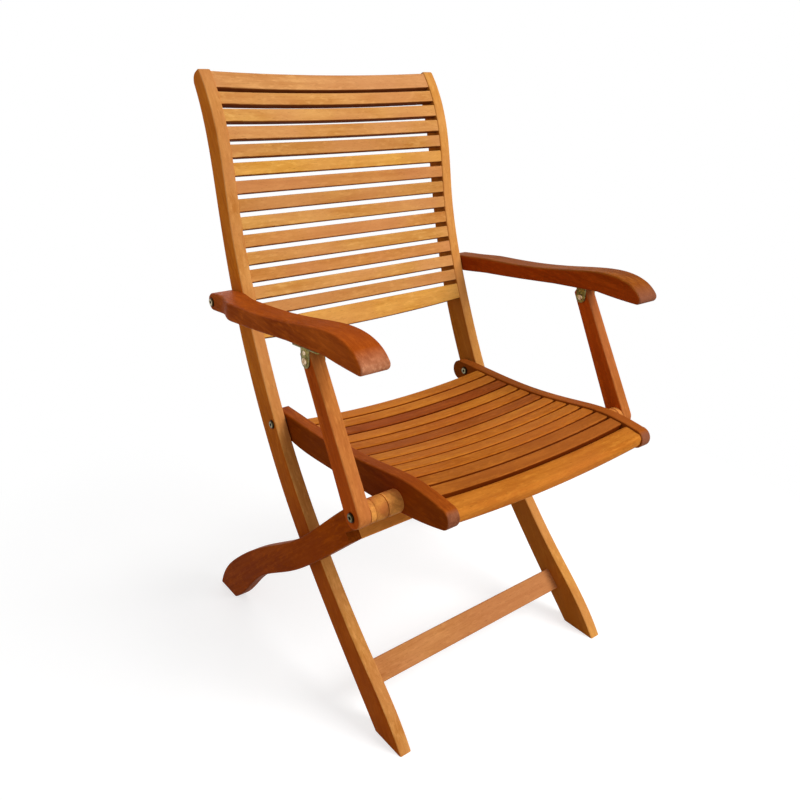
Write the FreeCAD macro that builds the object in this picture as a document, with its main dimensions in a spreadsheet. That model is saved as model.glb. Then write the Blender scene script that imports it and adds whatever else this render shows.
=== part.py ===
import FreeCAD, Part
import math
import os
import Sketcher

Vector = FreeCAD.Vector

doc = FreeCAD.newDocument("folding_armchair")

# Driving dimensions in millimetres and degrees. The chair faces -Y, and Z is 0 on the floor.
# Side-view places are measured back from the toe of the front foot, which stands at toe_place.
sizes = {
    "toe_place": -251.93,
    # Pivots of the fold. Seat, armrest, post and back stile form a parallelogram.
    # Setbacks are measured behind the front edge of the stile.
    "seat_pivot_height": 417,
    "seat_pivot_setback": 12.24,
    "pivot_reach": 300,
    "front_pivot_drop": 4,
    "arm_pivot_rise": 186,
    "arm_pivot_setback": 31.315,
    "fold_angle": 100,
    "leg_fold_share": 0.31,
    # Boards and the way they stack up sideways.
    "board_thickness": 21,
    "board_round": 2.5,
    "arm_inner_width": 484,
    "arm_inset": 31.5,
    "stile_height": 943,
    "stile_crown_round": 14,
    "stile_brow_round": 5,
    "side_gap": 1.5,
    "face_gap": 0.3,
    "running_clearance": 0.06,
    # Back slats.
    "top_slat_setdown": 2.5,
    "bottom_slat_width": 29,
    "bottom_slat_belly": 6,
    "back_slat_width": 21.2,
    "back_slat_gap": 6.2,
    "common_slat_count": 13,
    "top_slat_width": 29.5,
    "back_slat_thickness": 14,
    "back_slat_setback": 1.5,
    "back_slat_bow": 8,
    "slat_round": 2.5,
    # Seat slats.
    "seat_slat_count": 12,
    "seat_slat_pitch": 28,
    "seat_slat_width": 23.5,
    "seat_slat_thickness": 12,
    "seat_slat_dish": 10,
    "seat_slat_drop": 3,
    "rear_slat_setback": 33,
    "front_slat_width": 36,
    "front_slat_thickness": 22,
    "front_slat_round": 8,
    # Stretchers.
    "front_stretcher_height": 39,
    "front_stretcher_thickness": 17,
    "front_stretcher_distance": 107,
    "front_stretcher_setback": 29,
    "leg_stretcher_width": 45,
    "leg_stretcher_thickness": 18,
    # Rear leg eye.
    "leg_eye_radius": 17,
    "leg_neck_lean": 38.2,
    # Arm post and the wooden spacers on the front pivot.
    "post_foot_radius": 17.5,
    "post_top_width": 26,
    "spacer_radius": 17,
    "spacer_disc_thickness": 8,
    # Armrest.
    "arm_slope": 4.5,
    "arm_width": 45.5,
    "arm_tail_width": 40,
    "arm_tail_length": 30,
    "arm_flare_length": 90,
    "arm_flat_length": 90,
    "arm_flat_drop": 9,
    "arm_round": 4,
    # Hinge bracket under the armrest.
    "bracket_plate": 2,
    "bracket_length": 66,
    "bracket_ear_radius": 9.5,
    "bracket_side_gap": 0.4,
    "stop_gap": 0.3,
    "bracket_screw_inset": 8,
    # Metal fittings.
    "bolt_diameter": 8,
    "bolt_head_radius": 6.5,
    "bolt_head_height": 2.5,
    "nut_radius": 6.5,
    "nut_height": 3,
    "washer_radius": 9,
    "hinge_pin_diameter": 6,
    "hinge_head_radius": 5,
    "hinge_head_height": 2.5,
    "screw_radius": 2,
    "screw_head_radius": 4,
    "screw_head_height": 1.4,
    "screw_length": 16,
    # Stop peg in the stile and the blind groove it runs in.
    "peg_height_share": 0.58354,
    "peg_setback": 36.431,
    "peg_radius": 4,
    "peg_reach": 6,
    "groove_depth": 8,
    "groove_clearance": 0.5,
}

# Edges of the boards as the fewest places a smooth curve needs, as (back, height) pairs.
# The stile is measured from its toe, the armrest forward from its pivot, and the others from their pivot.
# All are stretched along the reach between the pivots, and the stile and the leg also to their heights.
edges = {
    "stile_front": [(0, 0), (30, 40), (111, 120), (205, 220), (321, 380), (406, 556),
                    (461.5, 725), (489.5, 860), (514, 912), (537, 943)],
    "stile_rear": [(562, 931), (528, 860), (503.5, 755), (468, 605), (413, 460), (328, 305),
                   (206, 150), (66, 0)],
    "rail_top": [(18, 15), (-54, 14), (-134, 14), (-204, 19), (-264, 27), (-314, 33), (-359, 32),
                 (-389, 28)],
    "rail_nose": [(-406, 13)],
    "rail_bottom": [(-396, -2), (-354, -12), (-309, -19), (-234, -26), (-143, -29), (-14, -28),
                    (12, -22)],
    "rail_tail": [(32, -3)],
    "rail_front_pivot": [(-300, -4)],
    "leg_upper": [(75, -40), (147, -108), (211, -163), (272, -204), (344, -252), (425, -317),
                  (480, -376), (499, -413)],
    "leg_lower": [(437, -413), (391, -369), (349, -321), (322, -296), (275, -263), (208, -218),
                  (148, -169), (46, -77)],
    "arm_top": [(-3, 13.5), (20, 14.5), (69, 14.3), (150, 13), (204, 14), (266, 18),
                (312, 22), (358, 23.5), (392, 18.5), (415, 8), (428, -5)],
    "arm_nose": [(428.7, -13.8)],
    "arm_front_belly": [(420.9, -17.9), (385, -14.5)],
    "arm_rear_belly": [(210, -10.5), (150, -12.3), (60, -13.5), (0, -14)],
    "arm_tail": [(-14, 0)],
}

sheet = doc.addObject("Spreadsheet::Sheet", "dims")


def fill_sheet(cells, rows_before=0):
    for row, (alias, value) in enumerate(cells, rows_before + 1):
        sheet.set("A%d" % row, alias)
        sheet.set("B%d" % row, str(value))
        sheet.setAlias("B%d" % row, alias)


edge_cells = [("%s_%s_%d" % (name, axis, number), value)
              for name, places in edges.items()
              for number, pair in enumerate(places)
              for axis, value in zip(("back", "height"), pair)]
fill_sheet(list(sizes.items()) + edge_cells)
doc.recompute()


def size(name):
    return float(sheet.get(name))


def smooth(points):
    curve = Part.BSplineCurve()
    curve.interpolate(points)
    return curve


front_pivot_height = size("seat_pivot_height") - size("front_pivot_drop")
along_reach = -size("pivot_reach") / edges["rail_front_pivot"][0][0]
stretches = {
    "stile": (along_reach, size("stile_height") / edges["stile_front"][-1][1]),
    "leg": (along_reach, -front_pivot_height / edges["leg_upper"][-1][1]),
    "rail": (along_reach, 1),
    "arm": (along_reach, 1),
}


def edge(name):
    along, upright = stretches[name.split("_")[0]]
    return [Vector(along * size("%s_back_%d" % (name, number)),
                   upright * size("%s_height_%d" % (name, number)), 0)
            for number in range(len(edges[name]))]


# Where the pivots and the stop peg stand: each at its own height and behind the front edge of the stile.
halvings = 60
stile_front = smooth(edge("stile_front"))


def behind_stile(height, setback):
    low, high = stile_front.FirstParameter, stile_front.LastParameter
    for _ in range(halvings):
        middle = (low + high) / 2
        low, high = (middle, high) if stile_front.value(middle).y < height else (low, middle)
    return stile_front.value(low).x + size(setback)


peg_height = front_pivot_height * size("peg_height_share")
arm_pivot_height = size("seat_pivot_height") + size("arm_pivot_rise")
places = {
    "seat_pivot_back": behind_stile(size("seat_pivot_height"), "seat_pivot_setback"),
    "arm_pivot_back": behind_stile(arm_pivot_height, "arm_pivot_setback"),
    "peg_back": behind_stile(peg_height, "peg_setback"),
}
fill_sheet(list(places.items()), len(sizes) + len(edge_cells))
doc.recompute()
front_height = "dims.seat_pivot_height - dims.front_pivot_drop"
spots = {
    "toe": ("dims.toe_place", "0"),
    "seat": ("dims.toe_place + dims.seat_pivot_back", "dims.seat_pivot_height"),
    "front": ("dims.toe_place + dims.seat_pivot_back - dims.pivot_reach", front_height),
    "arm": ("dims.toe_place + dims.arm_pivot_back", "dims.seat_pivot_height + dims.arm_pivot_rise"),
    "hinge": ("dims.toe_place + dims.arm_pivot_back - dims.pivot_reach",
              front_height + " + dims.arm_pivot_rise"),
    "peg": ("dims.toe_place + dims.peg_back", "(%s) * dims.peg_height_share" % front_height),
}

# The boards stacked sideways from the middle of the chair outwards.
stile_inner = "dims.arm_inner_width / 2 - dims.arm_inset"
stile_outer = "%s + dims.board_thickness" % stile_inner
rail_outer = "%s - dims.side_gap" % stile_inner
rail_inner = "%s - dims.board_thickness" % rail_outer
leg_inner = "%s + dims.side_gap" % stile_outer
leg_outer = "%s + dims.board_thickness" % leg_inner
post_inner = "%s + dims.spacer_disc_thickness" % leg_outer
post_outer = "%s + dims.board_thickness" % post_inner
arm_tail_outer = "%s + dims.arm_tail_width" % leg_inner
arm_outer = "dims.arm_inner_width / 2 + dims.arm_width"
bracket_width = "dims.board_thickness + 2 * dims.bracket_side_gap + 2 * dims.bracket_plate"
bolt_bore = "dims.bolt_diameter + 2 * dims.running_clearance"
pin_bore = "dims.hinge_pin_diameter + 2 * dims.running_clearance"

half_inner = size("arm_inner_width") / 2 - size("arm_inset")
half_rail = half_inner - size("side_gap") - size("board_thickness")
seat_pivot = Vector(size("seat_pivot_back"), size("seat_pivot_height"), 0)
front_pivot = seat_pivot - Vector(size("pivot_reach"), size("front_pivot_drop"), 0)
arm_pivot = Vector(size("arm_pivot_back"), arm_pivot_height, 0)
hinge_pivot = arm_pivot - seat_pivot + front_pivot
peg_spot = Vector(size("peg_back"), peg_height, 0)
own_pivot = Vector(0, 0, 0)
toe = Vector(size("toe_place"), 0, 0)

nodes = []


def keep(item, label):
    item.Label = label
    nodes.append(item)


def turned(point, degrees):
    angle = math.radians(degrees)
    return Vector(point.x * math.cos(angle) - point.y * math.sin(angle),
                  point.x * math.sin(angle) + point.y * math.cos(angle), 0)


def line(start, end):
    return Part.LineSegment(start, end)


def stand(item, spot, across, tilt=None):
    back, height = spots[spot]
    item.setExpression("Placement.Base.x", across)
    item.setExpression("Placement.Base.y", back)
    item.setExpression("Placement.Base.z", height)
    if tilt:
        item.Placement.Rotation = FreeCAD.Rotation(Vector(1, 0, 0), size(tilt))
        item.setExpression("Placement.Rotation.Angle", "-dims." + tilt)


def new_body(name):
    return doc.addObject("PartDesign::Body", name)


def outline(body, name, role, shapes):
    sketch = body.newObject("Sketcher::SketchObject", name)
    origin_plane = [feature for feature in body.Origin.OriginFeatures if feature.Role == role][0]
    sketch.AttachmentSupport = (origin_plane, [""])
    sketch.MapMode = "FlatFace"
    for shape in shapes:
        sketch.addGeometry(shape, False)
    return sketch


def pad(body, name, role, shapes, length, symmetric=False):
    feature = body.newObject("PartDesign::Pad", name)
    feature.Profile = outline(body, name + "_outline", role, shapes)
    feature.setExpression("Length", length)
    if symmetric:
        feature.SideType = "Symmetric"
    doc.recompute()
    return feature


def pocket(body, name, sketch, depth=None):
    before = body.Shape.Volume
    feature = body.newObject("PartDesign::Pocket", name)
    feature.Profile = sketch
    if depth:
        feature.Reversed = True
        feature.setExpression("Length", depth)
    else:
        feature.Type = "ThroughAll"
        feature.SideType = "Symmetric"
    doc.recompute()
    if body.Shape.Volume >= before:
        raise ValueError(name + " cuts nothing")
    return feature


def bore(body, name, role, spot_points, diameter):
    sketch = outline(body, name + "_outline", role, [])
    for spot_point in spot_points:
        circle = sketch.addGeometry(Part.Circle(spot_point, Vector(0, 0, 1), size("screw_radius")), False)
        constraint = sketch.addConstraint(Sketcher.Constraint("Diameter", circle, size("bolt_diameter")))
        sketch.setExpression("Constraints[%d]" % constraint, diameter)
    doc.recompute()
    return pocket(body, name, sketch)


def soften(body, name, base, chosen, radius):
    picked = ["Edge%d" % number for number, item in enumerate(base.Shape.Edges, 1) if chosen(item)]
    feature = body.newObject("PartDesign::Fillet", name)
    feature.Base = (base, picked)
    feature.setExpression("Radius", "dims." + radius)
    doc.recompute()
    return feature


def long_board_edge(item):
    return item.BoundBox.XLength < 0.001 and item.Length > 4 * size("board_thickness")


def edge_at(place):
    def chosen(item):
        middle = item.CenterOfMass
        return Vector(middle.y - place.x, middle.z - place.y, 0).Length < size("running_clearance")
    return chosen


def runs_across(item):
    return item.BoundBox.XLength > half_rail


def mirror(item, label):
    twin = doc.addObject("Part::Mirroring", label)
    twin.Source = item
    twin.Normal = Vector(1, 0, 0)
    doc.recompute()
    return twin


def keep_pair(item, name):
    keep(item, name + "_left")
    keep(mirror(item, name + "_right"), name + "_right")


def keep_group(items, label):
    group = doc.addObject("Part::Compound", label)
    group.Links = [solid for item in items for solid in (item, mirror(item, item.Name + "_twin"))]
    keep(group, label)


def rod(name, spot, start, length, radius):
    item = doc.addObject("Part::Cylinder", name)
    item.setExpression("Radius", radius)
    item.setExpression("Height", length)
    item.Placement.Rotation = FreeCAD.Rotation(Vector(0, 1, 0), 90)
    stand(item, spot, start)
    return item


def fused(name, items):
    item = doc.addObject("Part::MultiFuse", name)
    item.Shapes = items
    return item


def drilled(name, item, tool):
    result = doc.addObject("Part::Cut", name)
    result.Base = item
    result.Tool = tool
    return result


def tube(name, spot, start, length, radius, hole_radius):
    return drilled(name, rod(name + "_blank", spot, start, length, radius),
                   rod(name + "_hole", spot, start, length, hole_radius))


# Back stiles, which run on down as the front legs.
stile_rear = smooth(edge("stile_rear"))
stile = new_body("stile")
stile_board = pad(stile, "stile_board", "YZ_Plane",
                  [stile_front, line(edge("stile_front")[-1], edge("stile_rear")[0]),
                   stile_rear, line(edge("stile_rear")[-1], edge("stile_front")[0])],
                  "dims.board_thickness")
stile_crown = soften(stile, "stile_crown", stile_board, edge_at(edge("stile_rear")[0]), "stile_crown_round")
stile_brow = soften(stile, "stile_brow", stile_crown, edge_at(edge("stile_front")[-1]), "stile_brow_round")
soften(stile, "stile_round", stile_brow, long_board_edge, "board_round")
bore(stile, "stile_bores", "YZ_Plane", [seat_pivot, arm_pivot], bolt_bore)
bore(stile, "stile_peg_hole", "YZ_Plane", [peg_spot], "2 * dims.peg_radius")
stand(stile, "toe", stile_inner)
keep_pair(stile, "back_stile")


# Places along the front edge of the stile, with the lean of the edge there.
front_edge = stile_front.toShape()


def along_stile(distance):
    parameter = front_edge.getParameterByLength(distance)
    direction = front_edge.tangentAt(parameter)
    return front_edge.valueAt(parameter), math.degrees(math.atan2(direction.x, direction.y))


def lean_on_stile(item, distance, middle, setback=0.0):
    spot, _ = along_stile(distance)
    _, lean = along_stile(middle)
    behind = turned(Vector(setback, 0, 0), -lean)
    spot = spot + behind
    item.Placement = FreeCAD.Placement(Vector(0, toe.x + spot.x, spot.y),
                                       FreeCAD.Rotation(Vector(1, 0, 0), -lean))


# Back slats, bowed backwards between the stiles.
def back_slat(name, width, distance, width_size, belly=0.0):
    near = size("back_slat_setback")
    far = near + size("back_slat_thickness")
    bow = size("back_slat_bow")
    left, right = Vector(-half_inner, 0, 0), Vector(half_inner, 0, 0)
    front_arc = Part.Arc(left + Vector(0, near, 0), Vector(0, near + bow, 0), right + Vector(0, near, 0))
    rear_arc = Part.Arc(right + Vector(0, far, 0), Vector(0, far + bow, 0), left + Vector(0, far, 0))
    body = new_body(name)
    plank = pad(body, name + "_plank", "XY_Plane",
                [front_arc, line(right + Vector(0, near, 0), right + Vector(0, far, 0)),
                 rear_arc, line(left + Vector(0, far, 0), left + Vector(0, near, 0))], width_size)
    if belly:
        start, end = left + Vector(0, belly, 0), right + Vector(0, belly, 0)
        low_start, low_end = left - Vector(0, belly, 0), right - Vector(0, belly, 0)
        shaped = outline(body, name + "_curve", "XZ_Plane",
                         [Part.Arc(start, own_pivot, end), line(end, low_end),
                          line(low_end, low_start), line(low_start, start)])
        plank = pocket(body, name + "_shaping", shaped)
    soften(body, name + "_round", plank, runs_across, "slat_round")
    lean_on_stile(body, distance - belly, distance + width / 2)
    keep(body, name)


common_slats = int(size("common_slat_count"))
slat_run = (size("bottom_slat_width") + common_slats * size("back_slat_width")
            + (common_slats + 1) * size("back_slat_gap") + size("top_slat_width"))
slat_place = front_edge.Length - size("top_slat_setdown") - slat_run
back_slat("back_slat_01", size("bottom_slat_width"), slat_place,
          "dims.bottom_slat_width + dims.bottom_slat_belly", belly=size("bottom_slat_belly"))
slat_place += size("bottom_slat_width") + size("back_slat_gap")
for number in range(common_slats):
    back_slat("back_slat_%02d" % (number + 2), size("back_slat_width"), slat_place, "dims.back_slat_width")
    slat_place += size("back_slat_width") + size("back_slat_gap")
back_slat("back_slat_%02d" % (common_slats + 2), size("top_slat_width"), slat_place, "dims.top_slat_width")


# Front stretcher, low between the stiles and parallel to them.
def rectangle(corner, reach, rise):
    corners = [corner, corner + reach, corner + reach + rise, corner + rise]
    return [line(corners[number], corners[(number + 1) % 4]) for number in range(4)]


front_stretcher = new_body("front_stretcher")
stretcher_bar = pad(front_stretcher, "front_stretcher_bar", "YZ_Plane",
                    rectangle(Vector(0, 0, 0), Vector(size("front_stretcher_thickness"), 0, 0),
                              Vector(0, size("front_stretcher_height"), 0)),
                    "2 * (%s)" % stile_inner, symmetric=True)
soften(front_stretcher, "front_stretcher_round", stretcher_bar, runs_across, "slat_round")
stretcher_distance = size("front_stretcher_distance")
lean_on_stile(front_stretcher, stretcher_distance,
              stretcher_distance + size("front_stretcher_height") / 2, size("front_stretcher_setback"))
keep(front_stretcher, "front_stretcher")

# Seat rails.
rail_top = smooth(edge("rail_top"))
rail_bottom = smooth(edge("rail_bottom"))
rail = new_body("seat_rail")
rail_board = pad(rail, "seat_rail_board", "YZ_Plane",
                 [rail_top, Part.Arc(edge("rail_top")[-1], edge("rail_nose")[0], edge("rail_bottom")[0]),
                  rail_bottom, Part.Arc(edge("rail_bottom")[-1], edge("rail_tail")[0], edge("rail_top")[0])],
                 "dims.board_thickness")
soften(rail, "seat_rail_round", rail_board, long_board_edge, "board_round")
bore(rail, "seat_rail_bores", "YZ_Plane", [own_pivot, front_pivot - seat_pivot], bolt_bore)
stand(rail, "seat", rail_inner)
keep_pair(rail, "seat_rail")


# Seat slats, dished between the rails and let in a little below the top of the rails.
def on_rail_top(back):
    low, high = rail_top.FirstParameter, rail_top.LastParameter
    for _ in range(halvings):
        middle = (low + high) / 2
        low, high = (middle, high) if rail_top.value(middle).x > back else (low, middle)
    direction = rail_top.tangent(low)[0]
    return rail_top.value(low), math.degrees(math.atan2(direction.y, -direction.x))


def seat_slat(name, back, width, thickness, rounding):
    dish = size("seat_slat_dish")
    depth = size(thickness)
    body = new_body(name)
    top_left, top_right = Vector(-half_rail, 0, 0), Vector(half_rail, 0, 0)
    bottom_left, bottom_right = Vector(-half_rail, -depth, 0), Vector(half_rail, -depth, 0)
    plank = pad(body, name + "_plank", "XZ_Plane",
                [Part.Arc(top_left, Vector(0, -dish, 0), top_right), line(top_right, bottom_right),
                 Part.Arc(bottom_right, Vector(0, -dish - depth, 0), bottom_left),
                 line(bottom_left, top_left)], "dims." + width)
    soften(body, name + "_round", plank, runs_across, rounding)
    start, _ = on_rail_top(back)
    _, slope = on_rail_top(back - size(width) / 2)
    body.Placement = FreeCAD.Placement(
        Vector(0, toe.x + seat_pivot.x + start.x, seat_pivot.y + start.y - size("seat_slat_drop")),
        FreeCAD.Rotation(Vector(1, 0, 0), -slope))
    keep(body, name)


slat_back = -size("rear_slat_setback") * along_reach
for number in range(int(size("seat_slat_count"))):
    seat_slat("seat_slat_%02d" % (number + 1), slat_back, "seat_slat_width", "seat_slat_thickness",
              "slat_round")
    slat_back -= size("seat_slat_pitch") * along_reach
seat_slat("seat_front_slat", slat_back, "front_slat_width", "front_slat_thickness", "front_slat_round")

# Rear legs: a round eye at the front pivot, a neck, a step for the stretcher and an S-curve to the floor.
neck_forward = turned(Vector(-1, 0, 0), -size("leg_neck_lean"))
neck_up = turned(Vector(0, 1, 0), -size("leg_neck_lean"))
eye_radius = size("leg_eye_radius")
leg_upper = edge("leg_upper")
leg_lower = edge("leg_lower")
step_low = leg_lower[-1]
step_high = step_low - neck_up * (step_low.dot(neck_up) + eye_radius)
leg = new_body("rear_leg")
leg_board = pad(leg, "rear_leg_board", "YZ_Plane",
                [smooth([neck_up * eye_radius] + leg_upper), line(leg_upper[-1], leg_lower[0]),
                 smooth(leg_lower), line(step_low, step_high), line(step_high, neck_up * -eye_radius),
                 Part.Arc(neck_up * -eye_radius, neck_forward * eye_radius, neck_up * eye_radius)],
                "dims.board_thickness")
soften(leg, "rear_leg_round", leg_board, long_board_edge, "board_round")
bore(leg, "rear_leg_bore", "YZ_Plane", [own_pivot], bolt_bore)


# Path of the stop peg in the leg while the chair folds.
def peg_in_leg(fold):
    moved_pivot = seat_pivot + turned(front_pivot - seat_pivot, -fold)
    return turned(peg_spot - moved_pivot, fold * (1 - size("leg_fold_share")))


path_steps = 12
small_turn = 0.01
groove_half = size("peg_radius") + size("groove_clearance")
folds = [size("fold_angle") * step / path_steps for step in range(path_steps + 1)]
path = [peg_in_leg(fold) for fold in folds]
headings = [(peg_in_leg(fold + small_turn) - peg_in_leg(fold - small_turn)).normalize() for fold in folds]
sides = [Vector(-heading.y, heading.x, 0) * groove_half for heading in headings]
near_wall = [point + side for point, side in zip(path, sides)]
far_wall = [point - side for point, side in zip(path, sides)]
groove = outline(leg, "rear_leg_groove_outline", "YZ_Plane",
                 [smooth(near_wall), smooth(far_wall),
                  Part.Arc(near_wall[0], path[0] - headings[0] * groove_half, far_wall[0]),
                  Part.Arc(near_wall[-1], path[-1] + headings[-1] * groove_half, far_wall[-1])])
pocket(leg, "rear_leg_groove", groove, "dims.groove_depth")
stand(leg, "front", leg_inner)
keep_pair(leg, "rear_leg")

# Stretcher between the rear legs, under the seat and flush with the step in the legs.
leg_stretcher = new_body("rear_leg_stretcher")
leg_bar = pad(leg_stretcher, "rear_leg_stretcher_bar", "YZ_Plane",
              rectangle(step_low, neck_forward * -size("leg_stretcher_width"),
                        neck_up * size("leg_stretcher_thickness")),
              "2 * (%s)" % leg_inner, symmetric=True)
soften(leg_stretcher, "rear_leg_stretcher_round", leg_bar, runs_across, "slat_round")
stand(leg_stretcher, "front", "0")
keep(leg_stretcher, "rear_leg_stretcher")

# Armrests, drawn level and then tipped by their slope. Forward is minus in the drawing.
hinge_in_arm = turned(hinge_pivot - arm_pivot, size("arm_slope"))
flat_half = size("arm_flat_length") / 2
flat_front = Vector(hinge_in_arm.x - flat_half, -size("arm_flat_drop"), 0)
flat_rear = Vector(hinge_in_arm.x + flat_half, -size("arm_flat_drop"), 0)


def arm_edge(name):
    return [Vector(-point.x, point.y, 0) for point in edge(name)]


arm_top = arm_edge("arm_top")
arm_front_belly = arm_edge("arm_front_belly")
arm_rear_belly = arm_edge("arm_rear_belly")
armrest = new_body("armrest")
arm_block = pad(armrest, "armrest_block", "YZ_Plane",
                [smooth(arm_top), Part.Arc(arm_top[-1], arm_edge("arm_nose")[0], arm_front_belly[0]),
                 smooth(arm_front_belly + [flat_front]), line(flat_front, flat_rear),
                 smooth([flat_rear] + arm_rear_belly),
                 Part.Arc(arm_rear_belly[-1], arm_edge("arm_tail")[0], arm_top[0])],
                "%s - (%s)" % (arm_outer, leg_inner))
inner_relief = size("arm_inner_width") / 2 - half_inner - size("board_thickness") - size("side_gap")
full_width = inner_relief + size("arm_width")
tail_width = size("arm_tail_width")
tail_start = -size("arm_tail_length")
flare_end = -size("arm_flare_length")
past_nose = -2 * size("pivot_reach")
past_tail = size("pivot_reach")
spare = size("arm_width")


def flare(near, far):
    bend = (flare_end - tail_start) / 4
    return smooth([Vector(near, tail_start, 0), Vector(near + (far - near) * 0.15, tail_start + bend, 0),
                   Vector(far - (far - near) * 0.15, flare_end - bend, 0), Vector(far, flare_end, 0)])


def path_lines(points):
    return [line(start, end) for start, end in zip(points, points[1:])]


inner_cut = [flare(0, inner_relief)]
inner_cut += path_lines([Vector(inner_relief, flare_end, 0), Vector(inner_relief, past_nose, 0),
                         Vector(-spare, past_nose, 0), Vector(-spare, tail_start, 0),
                         Vector(0, tail_start, 0)])
outer_cut = [flare(tail_width, full_width)]
outer_cut += path_lines([Vector(full_width, flare_end, 0), Vector(full_width + spare, flare_end, 0),
                         Vector(full_width + spare, past_tail, 0), Vector(tail_width, past_tail, 0),
                         Vector(tail_width, tail_start, 0)])
pocket(armrest, "armrest_inner_flare", outline(armrest, "armrest_inner_plan", "XY_Plane", inner_cut))
arm_shaped = pocket(armrest, "armrest_outer_flare",
                    outline(armrest, "armrest_outer_plan", "XY_Plane", outer_cut))


def arm_rim(item):
    box = item.BoundBox
    along = box.YLength > size("arm_round") and box.XLength < size("arm_width") / 2
    return along and max(abs(box.ZMin), abs(box.ZMax)) > size("arm_round")


soften(armrest, "armrest_round", arm_shaped, arm_rim, "arm_round")
bore(armrest, "armrest_bore", "YZ_Plane", [own_pivot], bolt_bore)
stand(armrest, "arm", leg_inner, tilt="arm_slope")
keep_pair(armrest, "armrest")

# Hinge brackets: a plate under the armrest with an ear down each side of the post.
plate = size("bracket_plate")
plate_top = -size("arm_flat_drop") - hinge_in_arm.y
plate_low = plate_top - plate
plate_half = size("bracket_length") / 2
ear_radius = size("bracket_ear_radius")
slot_half = size("board_thickness") / 2 + size("bracket_side_gap")
bracket = new_body("arm_bracket")
pad(bracket, "arm_bracket_plate", "YZ_Plane",
    rectangle(Vector(-plate_half, plate_low, 0), Vector(2 * plate_half, 0, 0), Vector(0, plate, 0)),
    bracket_width, symmetric=True)
pad(bracket, "arm_bracket_ears", "YZ_Plane",
    path_lines([Vector(ear_radius, 0, 0), Vector(ear_radius, plate_top, 0),
                Vector(-ear_radius, plate_top, 0), Vector(-ear_radius, 0, 0)])
    + [Part.Arc(Vector(-ear_radius, 0, 0), Vector(0, -ear_radius, 0), Vector(ear_radius, 0, 0))],
    bracket_width, symmetric=True)
slot = rectangle(Vector(-slot_half, -2 * ear_radius, 0), Vector(2 * slot_half, 0, 0),
                 Vector(0, plate_low + 2 * ear_radius, 0))
pocket(bracket, "arm_bracket_slot", outline(bracket, "arm_bracket_slot_outline", "XZ_Plane", slot))
bore(bracket, "arm_bracket_bore", "YZ_Plane", [own_pivot], pin_bore)
screw_reach = plate_half - size("bracket_screw_inset")
screw_spots = [Vector(0, -screw_reach, 0), Vector(0, screw_reach, 0)]
bore(bracket, "arm_bracket_screw_holes", "XY_Plane", screw_spots, "2 * dims.screw_radius")
bracket_middle = "%s + dims.board_thickness / 2" % post_inner
stand(bracket, "hinge", bracket_middle, tilt="arm_slope")
keep_pair(bracket, "arm_bracket")

# Screws up through the bracket plate into the armrest.
bracket_across = (half_inner + size("side_gap") + 2.5 * size("board_thickness")
                  + size("spacer_disc_thickness"))


def upright(name, reach, level, height, radius):
    item = doc.addObject("Part::Cylinder", name)
    item.setExpression("Radius", "dims." + radius)
    item.setExpression("Height", "dims." + height)
    spot = hinge_pivot + turned(Vector(reach, level, 0), -size("arm_slope"))
    item.Placement = FreeCAD.Placement(Vector(bracket_across, toe.x + spot.x, spot.y),
                                       FreeCAD.Rotation(Vector(1, 0, 0), -size("arm_slope")))
    return item


def bracket_screw(name, reach):
    under_plate = plate_low - size("screw_head_height")
    head = upright(name + "_head", reach, under_plate, "screw_head_height", "screw_head_radius")
    shank = upright(name + "_shank", reach, under_plate, "screw_length", "screw_radius")
    return fused(name, [head, shank])


screws = doc.addObject("Part::Compound", "bracket_screws")
screws.Links = [bracket_screw("front_screw", -screw_reach), bracket_screw("rear_screw", screw_reach)]
keep_pair(screws, "bracket_screws")

# Hinge pins through the bracket ears and the top of the post.
pin_start = "%s - dims.bracket_side_gap - dims.bracket_plate" % post_inner
pin_end = "%s + dims.bracket_side_gap + dims.bracket_plate" % post_outer
hinge_pin = fused("hinge_pin", [
    rod("hinge_pin_shank", "hinge", pin_start, bracket_width, "dims.hinge_pin_diameter / 2"),
    rod("hinge_pin_head", "hinge", pin_end, "dims.hinge_head_height", "dims.hinge_head_radius"),
    rod("hinge_pin_tail", "hinge", "%s - dims.hinge_head_height" % pin_start, "dims.hinge_head_height",
        "dims.hinge_head_radius")])
keep_pair(hinge_pin, "arm_hinge_pin")

# Arm posts: round at the foot, and at the top a flat that stops under the bracket with a round back corner.
post_axis = (hinge_pivot - front_pivot).normalize()
post_side = turned(post_axis, -90)
post_top = hinge_pivot - front_pivot
foot_radius = size("post_foot_radius")
top_half = size("post_top_width") / 2
arm_up = turned(Vector(0, 1, 0), -size("arm_slope"))
top_reach = plate_low - size("stop_gap")
front_start = post_side * -foot_radius
front_run = post_top - post_side * top_half - front_start
front_end = front_start + front_run * ((post_top.dot(arm_up) + top_reach - front_start.dot(arm_up))
                                       / front_run.dot(arm_up))
flat_end = post_top + arm_up * top_reach
rear_end = post_top + post_side * top_half + post_axis * math.sqrt(top_reach ** 2 - top_half ** 2)
crown = post_top + ((flat_end - post_top) + (rear_end - post_top)).normalize() * top_reach
post = new_body("arm_post")
post_board = pad(post, "arm_post_board", "YZ_Plane",
                 [line(front_start, front_end), line(front_end, flat_end),
                  Part.Arc(flat_end, crown, rear_end), line(rear_end, post_side * foot_radius),
                  Part.Arc(post_side * foot_radius, post_axis * -foot_radius, front_start)],
                 "dims.board_thickness")
soften(post, "arm_post_round", post_board, long_board_edge, "board_round")
bore(post, "arm_post_foot_bore", "YZ_Plane", [own_pivot], bolt_bore)
bore(post, "arm_post_top_bore", "YZ_Plane", [post_top], pin_bore)
stand(post, "front", post_inner)
keep_pair(post, "arm_post")

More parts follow.
